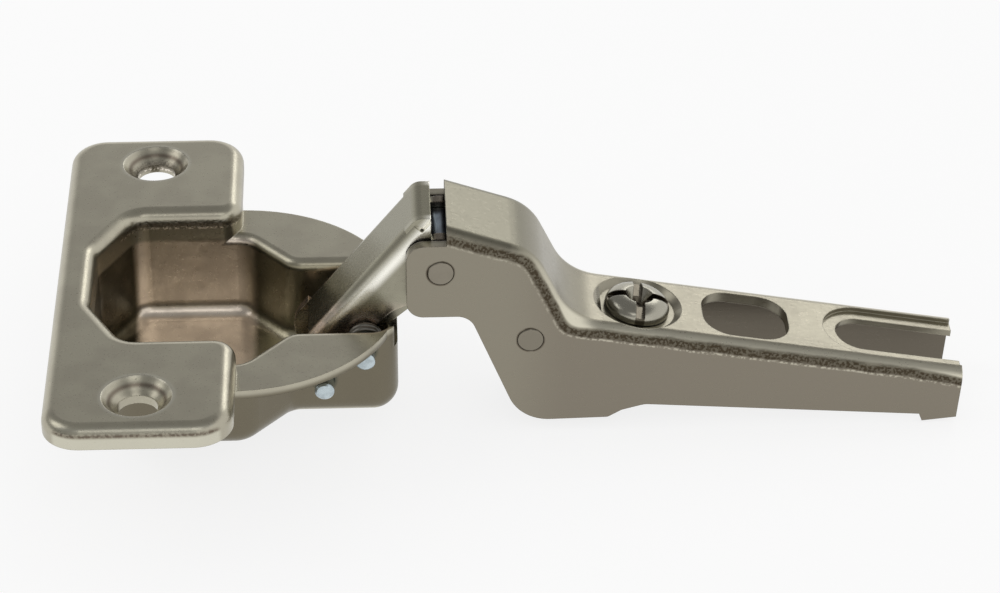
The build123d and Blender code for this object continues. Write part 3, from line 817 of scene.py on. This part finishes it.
@dataclass
class AdjustingScrew:
    """The adjusting screw: a low domed head with two crossing slots, a thread, a neck and a foot."""

    x: float = 43.3
    pitch_angle: float = 9.84
    level_x: float = 50.0
    level_z: float = -3.756
    top: float = 1.1
    slot_width: float = 0.95
    slot_depth: float = 0.95
    slot_margin: float = 1.0
    slot_edge: Span = (0.06, 0.02)
    # Painted shade in the slots
    slot_shade_mark: Mark = Mark((0.10, 0.085, 0.06), 0.9)
    profile: tuple[Point, ...] = (
        (0.0, -0.4), (0.7, -0.4), (1.6, 1.08), (1.9, 1.06), (2.55, 0.92), (3.05, 0.66), (3.4, 0.28),
        (3.55, -0.15), (3.55, -0.6), (2.88, -0.6), (2.88, -5.4), (1.8, -5.4), (1.8, -7.2), (3.0, -7.2),
        (3.0, -8.4), (0.0, -8.4))
    thread_radius: float = 2.86
    thread_crest: float = 0.22
    thread_lead: float = 0.7
    thread_flank: float = 0.3
    thread_ends: tuple[float, float] = (-5.25, -3.75)
    run_out: float = 6.0
    sharp_angle: float = 35.0
    steps: int = 72

    def level(self) -> float:
        """Height in millimetres of the arm's outer face at the screw's axis."""
        return self.level_z - math.tan(math.radians(self.pitch_angle)) * (self.x - self.level_x)

    def place(self) -> Matrix:
        """Place of the screw's own frame, whose height 0 is the arm's outer face."""
        turn = Matrix.Rotation(math.radians(self.pitch_angle), 4, "Y")
        return Matrix.Translation((self.x * MM, 0, self.level() * MM)) @ turn

    @staticmethod
    def corner(mesh: bmesh.types.BMesh, radius: float, angle: float, height: float) -> bmesh.types.BMVert:
        """Add a point to a mesh, at a radius and a height in millimetres and an angle round the axis."""
        return mesh.verts.new((radius * MM * math.cos(angle), radius * MM * math.sin(angle), height * MM))

    def turned(self, name: str, profile: tuple[Point, ...]) -> bpy.types.Object:
        """Turn a profile round the screw's axis.

        Args:
            name: the name of the new object.
            profile: radius and height of its points in millimetres, from the top of the axis to its foot.

        Returns:
            The closed body, in metres.
        """
        mesh = bmesh.new()
        rows = []
        for radius, height in profile:
            count = self.steps if radius else 1
            rows.append([self.corner(mesh, radius, math.tau * index / self.steps, height)
                         for index in range(count)])
        for upper, lower in zip(rows, rows[1:]):
            for index in range(self.steps):
                corners = [upper[index % len(upper)], lower[index % len(lower)],
                           lower[(index + 1) % len(lower)], upper[(index + 1) % len(upper)]]
                mesh.faces.new(list(dict.fromkeys(corners)))
        return self.placed(name, mesh)

    def bar(self, name: str, sides: tuple[float, float, float]) -> bpy.types.Object:
        """Make a box about the head's top.

        Args:
            name: the name of the new object.
            sides: its sides in millimetres.

        Returns:
            The box, in metres.
        """
        mesh = bmesh.new()
        scale = Matrix.Diagonal((*(side * MM for side in sides), 1.0))
        bmesh.ops.create_cube(mesh, size=1.0, matrix=Matrix.Translation((0, 0, self.top * MM)) @ scale)
        return self.placed(name, mesh)

    def placed(self, name: str, mesh: bmesh.types.BMesh) -> bpy.types.Object:
        """Put a body made in the screw's frame into the shared frame.

        Args:
            name: the name of the new object.
            mesh: the body, which is freed.

        Returns:
            The object.
        """
        bmesh.ops.recalc_face_normals(mesh, faces=mesh.faces)
        mesh.transform(self.place())
        data = bpy.data.meshes.new(name)
        mesh.to_mesh(data)
        mesh.free()
        body = bpy.data.objects.new(name, data)
        bpy.context.scene.collection.objects.link(body)
        return body

    def cut(self, body: bpy.types.Object, tools: list[bpy.types.Object]) -> None:
        """Cut tools out of a body, and take the tools away.

        Args:
            body: the body that is cut.
            tools: the bodies that are cut out of it.
        """
        for tool in tools:
            step = body.modifiers.new(tool.name, "BOOLEAN")
            step.object = tool
            step.operation = "DIFFERENCE"
            step.solver = "EXACT"
        graph = bpy.context.evaluated_depsgraph_get()
        body.data = bpy.data.meshes.new_from_object(body.evaluated_get(graph))
        body.modifiers.clear()
        for tool in tools:
            bpy.data.objects.remove(tool)
        body.data.shade_smooth()
        body.data.set_sharp_from_angle(angle=math.radians(self.sharp_angle))

    def thread(self) -> bpy.types.Object:
        """Make the helical ridge that shows below the arm's collar, run out to nothing at both ends.

        Returns:
            The thread.
        """
        mesh = bmesh.new()
        bottom, top = self.thread_ends
        turns = (top - bottom) / self.thread_lead
        count = int(self.steps * turns)
        rows = []
        for index in range(count + 1):
            share = index / count
            height = bottom + (top - bottom) * share
            crest = self.thread_crest * min(1.0, self.run_out * share, self.run_out * (1.0 - share))
            section = ((0.0, -self.thread_flank), (crest, 0.0), (0.0, self.thread_flank))
            rows.append([self.corner(mesh, self.thread_radius + rise, math.tau * turns * share,
                                     height + offset * self.thread_lead)
                         for rise, offset in section])
        for low, high in zip(rows, rows[1:]):
            for column in range(len(low) - 1):
                mesh.faces.new((low[column], high[column], high[column + 1], low[column + 1]))
        thread = self.placed("screw_thread", mesh)
        thread.data.shade_smooth()
        return thread

    def head_material(self) -> bpy.types.Material:
        """Bright nickel, with painted shade in the slots.

        Returns:
            The head's material.
        """
        surface = Surface("screw_slotted_nickel")
        look = SCREW_NICKEL.look(surface)
        angle = math.radians(self.pitch_angle)
        along = (surface.x - self.x) * math.cos(angle) - (surface.z - self.level()) * math.sin(angle)
        low, high = (self.slot_width / 2 + past for past in self.slot_edge)
        look.mark(surface.y.size().smallest(along.size()).step(low, high), self.slot_shade_mark)
        return surface.finish(look)

    def build(self) -> None:
        """Make the screw in place of its plain solid, with its thread."""
        body = self.turned("screw_body", self.profile)
        length = 2.0 * max(radius for radius, _ in self.profile) + self.slot_margin
        height = 2.0 * self.slot_depth
        self.cut(body, [self.bar("slot_along", (length, self.slot_width, height)),
                        self.bar("slot_across", (self.slot_width, length, height))])
        thread = self.thread()
        for piece, material in ((body, self.head_material()), (thread, SCREW_NICKEL.material())):
            piece.data.materials.clear()
            piece.data.materials.append(material)
            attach(piece, "adjusting_screw")
            log.info("%s is built", piece.name)
        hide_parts("adjusting_screw")


def seen_rays(tree: Tree) -> Signal:
    """Tell the rays that show the background from those that only light things.

    Args:
        tree: the node tree that asks.

    Returns:
        1 for the camera's rays and for reflections, and 0 for the rest.
    """
    path = tree.node("ShaderNodeLightPath")
    shown = Signal(tree, path.outputs["Is Camera Ray"])
    for ray in ("Is Glossy Ray", "Is Transmission Ray"):
        shown = shown.largest(Signal(tree, path.outputs[ray]))
    return shown


@dataclass(frozen=True)
class Panel:
    """A soft lamp: its centre and sides in millimetres, and its brightness in a mirror, where 1 is white."""

    name: str
    place: Place
    sides: tuple[float, float]
    level: float


@dataclass
class Studio:
    """Camera, lamps, sky and floor."""

    eye: Place = (15.1488, -299.5582, 199.4486)
    yaw: float = 0.0441
    pitch: float = 0.5903
    roll: float = 0.0043
    lens: float = 120.17
    sensor: float = 36.0
    nearest: float = 10.0
    ambient: float = 0.72
    wall: float = 1.0
    ceiling: float = 0.30
    ceiling_tilt: float = 0.35
    ceiling_edge: Span = (0.38, 0.62)
    whiteness: float = 0.82
    white: Colour = (1.0, 1.0, 1.0)
    floor_tone: Colour = (0.93, 0.93, 0.93)
    floor_roughness: float = 0.9
    floor_gap: float = 0.3
    floor_size: float = 3000.0
    panels: tuple[Panel, ...] = (
        Panel("key_panel", (260.0, 560.0, 330.0), (260.0, 170.0), 1.9),
        Panel("left_panel", (-420.0, 60.0, 420.0), (300.0, 300.0), 1.4),
        Panel("front_panel", (60.0, -420.0, 520.0), (320.0, 200.0), 1.2),
    )
    target: Place = (25.0, 0.0, -3.0)

    def camera(self) -> None:
        """Put the camera where the photograph was taken from."""
        forward = Vector((math.sin(self.yaw) * math.cos(self.pitch),
                          math.cos(self.yaw) * math.cos(self.pitch), -math.sin(self.pitch)))
        level = Vector((math.cos(self.yaw), -math.sin(self.yaw), 0.0))
        over = level.cross(forward)
        right = math.cos(self.roll) * level + math.sin(self.roll) * over
        up = math.cos(self.roll) * over - math.sin(self.roll) * level
        lens = bpy.data.cameras.new("photo_camera")
        lens.lens = self.lens
        lens.sensor_width = self.sensor
        lens.clip_start = self.nearest * MM
        camera = bpy.data.objects.new("photo_camera", lens)
        place = Matrix((right, up, -forward)).transposed().to_4x4()
        place.translation = Vector(self.eye) * MM
        camera.matrix_world = place
        bpy.context.scene.collection.objects.link(camera)
        bpy.context.scene.camera = camera

    def sky(self) -> None:
        """White studio walls under a grey ceiling, and a plain level of soft light."""
        world = bpy.data.worlds.new("studio")
        world.use_nodes = True
        bpy.context.scene.world = world
        tree = Tree(world.node_tree)
        coordinates = tree.node("ShaderNodeTexCoord")
        x, _, z = tree.axes(Signal(tree, coordinates.outputs["Generated"]))
        ceiling = (z - x * self.ceiling_tilt).step(*self.ceiling_edge)
        shown = seen_rays(tree)
        seen = self.wall + ceiling * (self.ceiling - self.wall)
        strength = shown * seen + (1.0 - shown) * self.ambient
        light = tree.node("ShaderNodeBackground", inputs={"Color": self.white, "Strength": strength})
        output = tree.node("ShaderNodeOutputWorld")
        tree.tree.links.new(light.outputs[0], output.inputs[0])

    def lamp(self, panel: Panel) -> None:
        """Add a soft lamp that faces the hinge.

        Args:
            panel: the lamp's place, sides and brightness.
        """
        light = bpy.data.lights.new(panel.name, "AREA")
        light.shape = "RECTANGLE"
        light.size, light.size_y = (side * MM for side in panel.sides)
        light.energy = panel.level * math.pi * light.size * light.size_y
        lamp = bpy.data.objects.new(panel.name, light)
        place = Vector(panel.place)
        lamp.location = place * MM
        lamp.rotation_euler = (Vector(self.target) - place).to_track_quat("-Z", "Y").to_euler()
        lamp.visible_camera = False
        bpy.context.scene.collection.objects.link(lamp)

    def floor_material(self) -> bpy.types.Material:
        """Pale floor that takes shadows and shows almost white.

        Returns:
            The floor's material.
        """
        material = bpy.data.materials.new("pale_floor")
        material.use_nodes = True
        tree = Tree(material.node_tree)
        lit = tree.node("ShaderNodeBsdfPrincipled", inputs={
            "Base Color": self.floor_tone, "Roughness": self.floor_roughness, "Specular IOR Level": 0.0})
        plain = tree.node("ShaderNodeEmission", inputs={"Color": self.white, "Strength": 1.0})
        mixed = tree.node("ShaderNodeMixShader", inputs={
            0: seen_rays(tree) * self.whiteness,
            1: Signal(tree, lit.outputs[0]), 2: Signal(tree, plain.outputs[0])})
        output = tree.node("ShaderNodeOutputMaterial")
        tree.tree.links.new(mixed.outputs[0], output.inputs[0])
        return material

    def floor(self) -> None:
        """Lay a plain floor under the hinge."""
        half = self.floor_size * MM / 2
        level = cad_box[0][2] - self.floor_gap * MM
        corners = [(x * half, y * half, level) for x, y in ((-1, -1), (1, -1), (1, 1), (-1, 1))]
        mesh = bpy.data.meshes.new("floor")
        mesh.from_pydata(corners, [], [(0, 1, 2, 3)])
        mesh.materials.append(self.floor_material())
        floor = bpy.data.objects.new("floor", mesh)
        bpy.context.scene.collection.objects.link(floor)

    def build(self) -> None:
        """Set up the whole studio."""
        bpy.context.scene.view_settings.view_transform = "Standard"
        self.camera()
        self.sky()
        self.floor()
        for panel in self.panels:
            self.lamp(panel)
        log.info("studio is set")


def main() -> None:
    """Build the hinge's looks around the CAD frame."""
    logging.basicConfig(level=logging.INFO, format="%(message)s")
    for assembly in (Cup(), Links(), Arm(), AdjustingScrew(), Studio()):
        assembly.build()


if __name__ == "__main__":
    main()
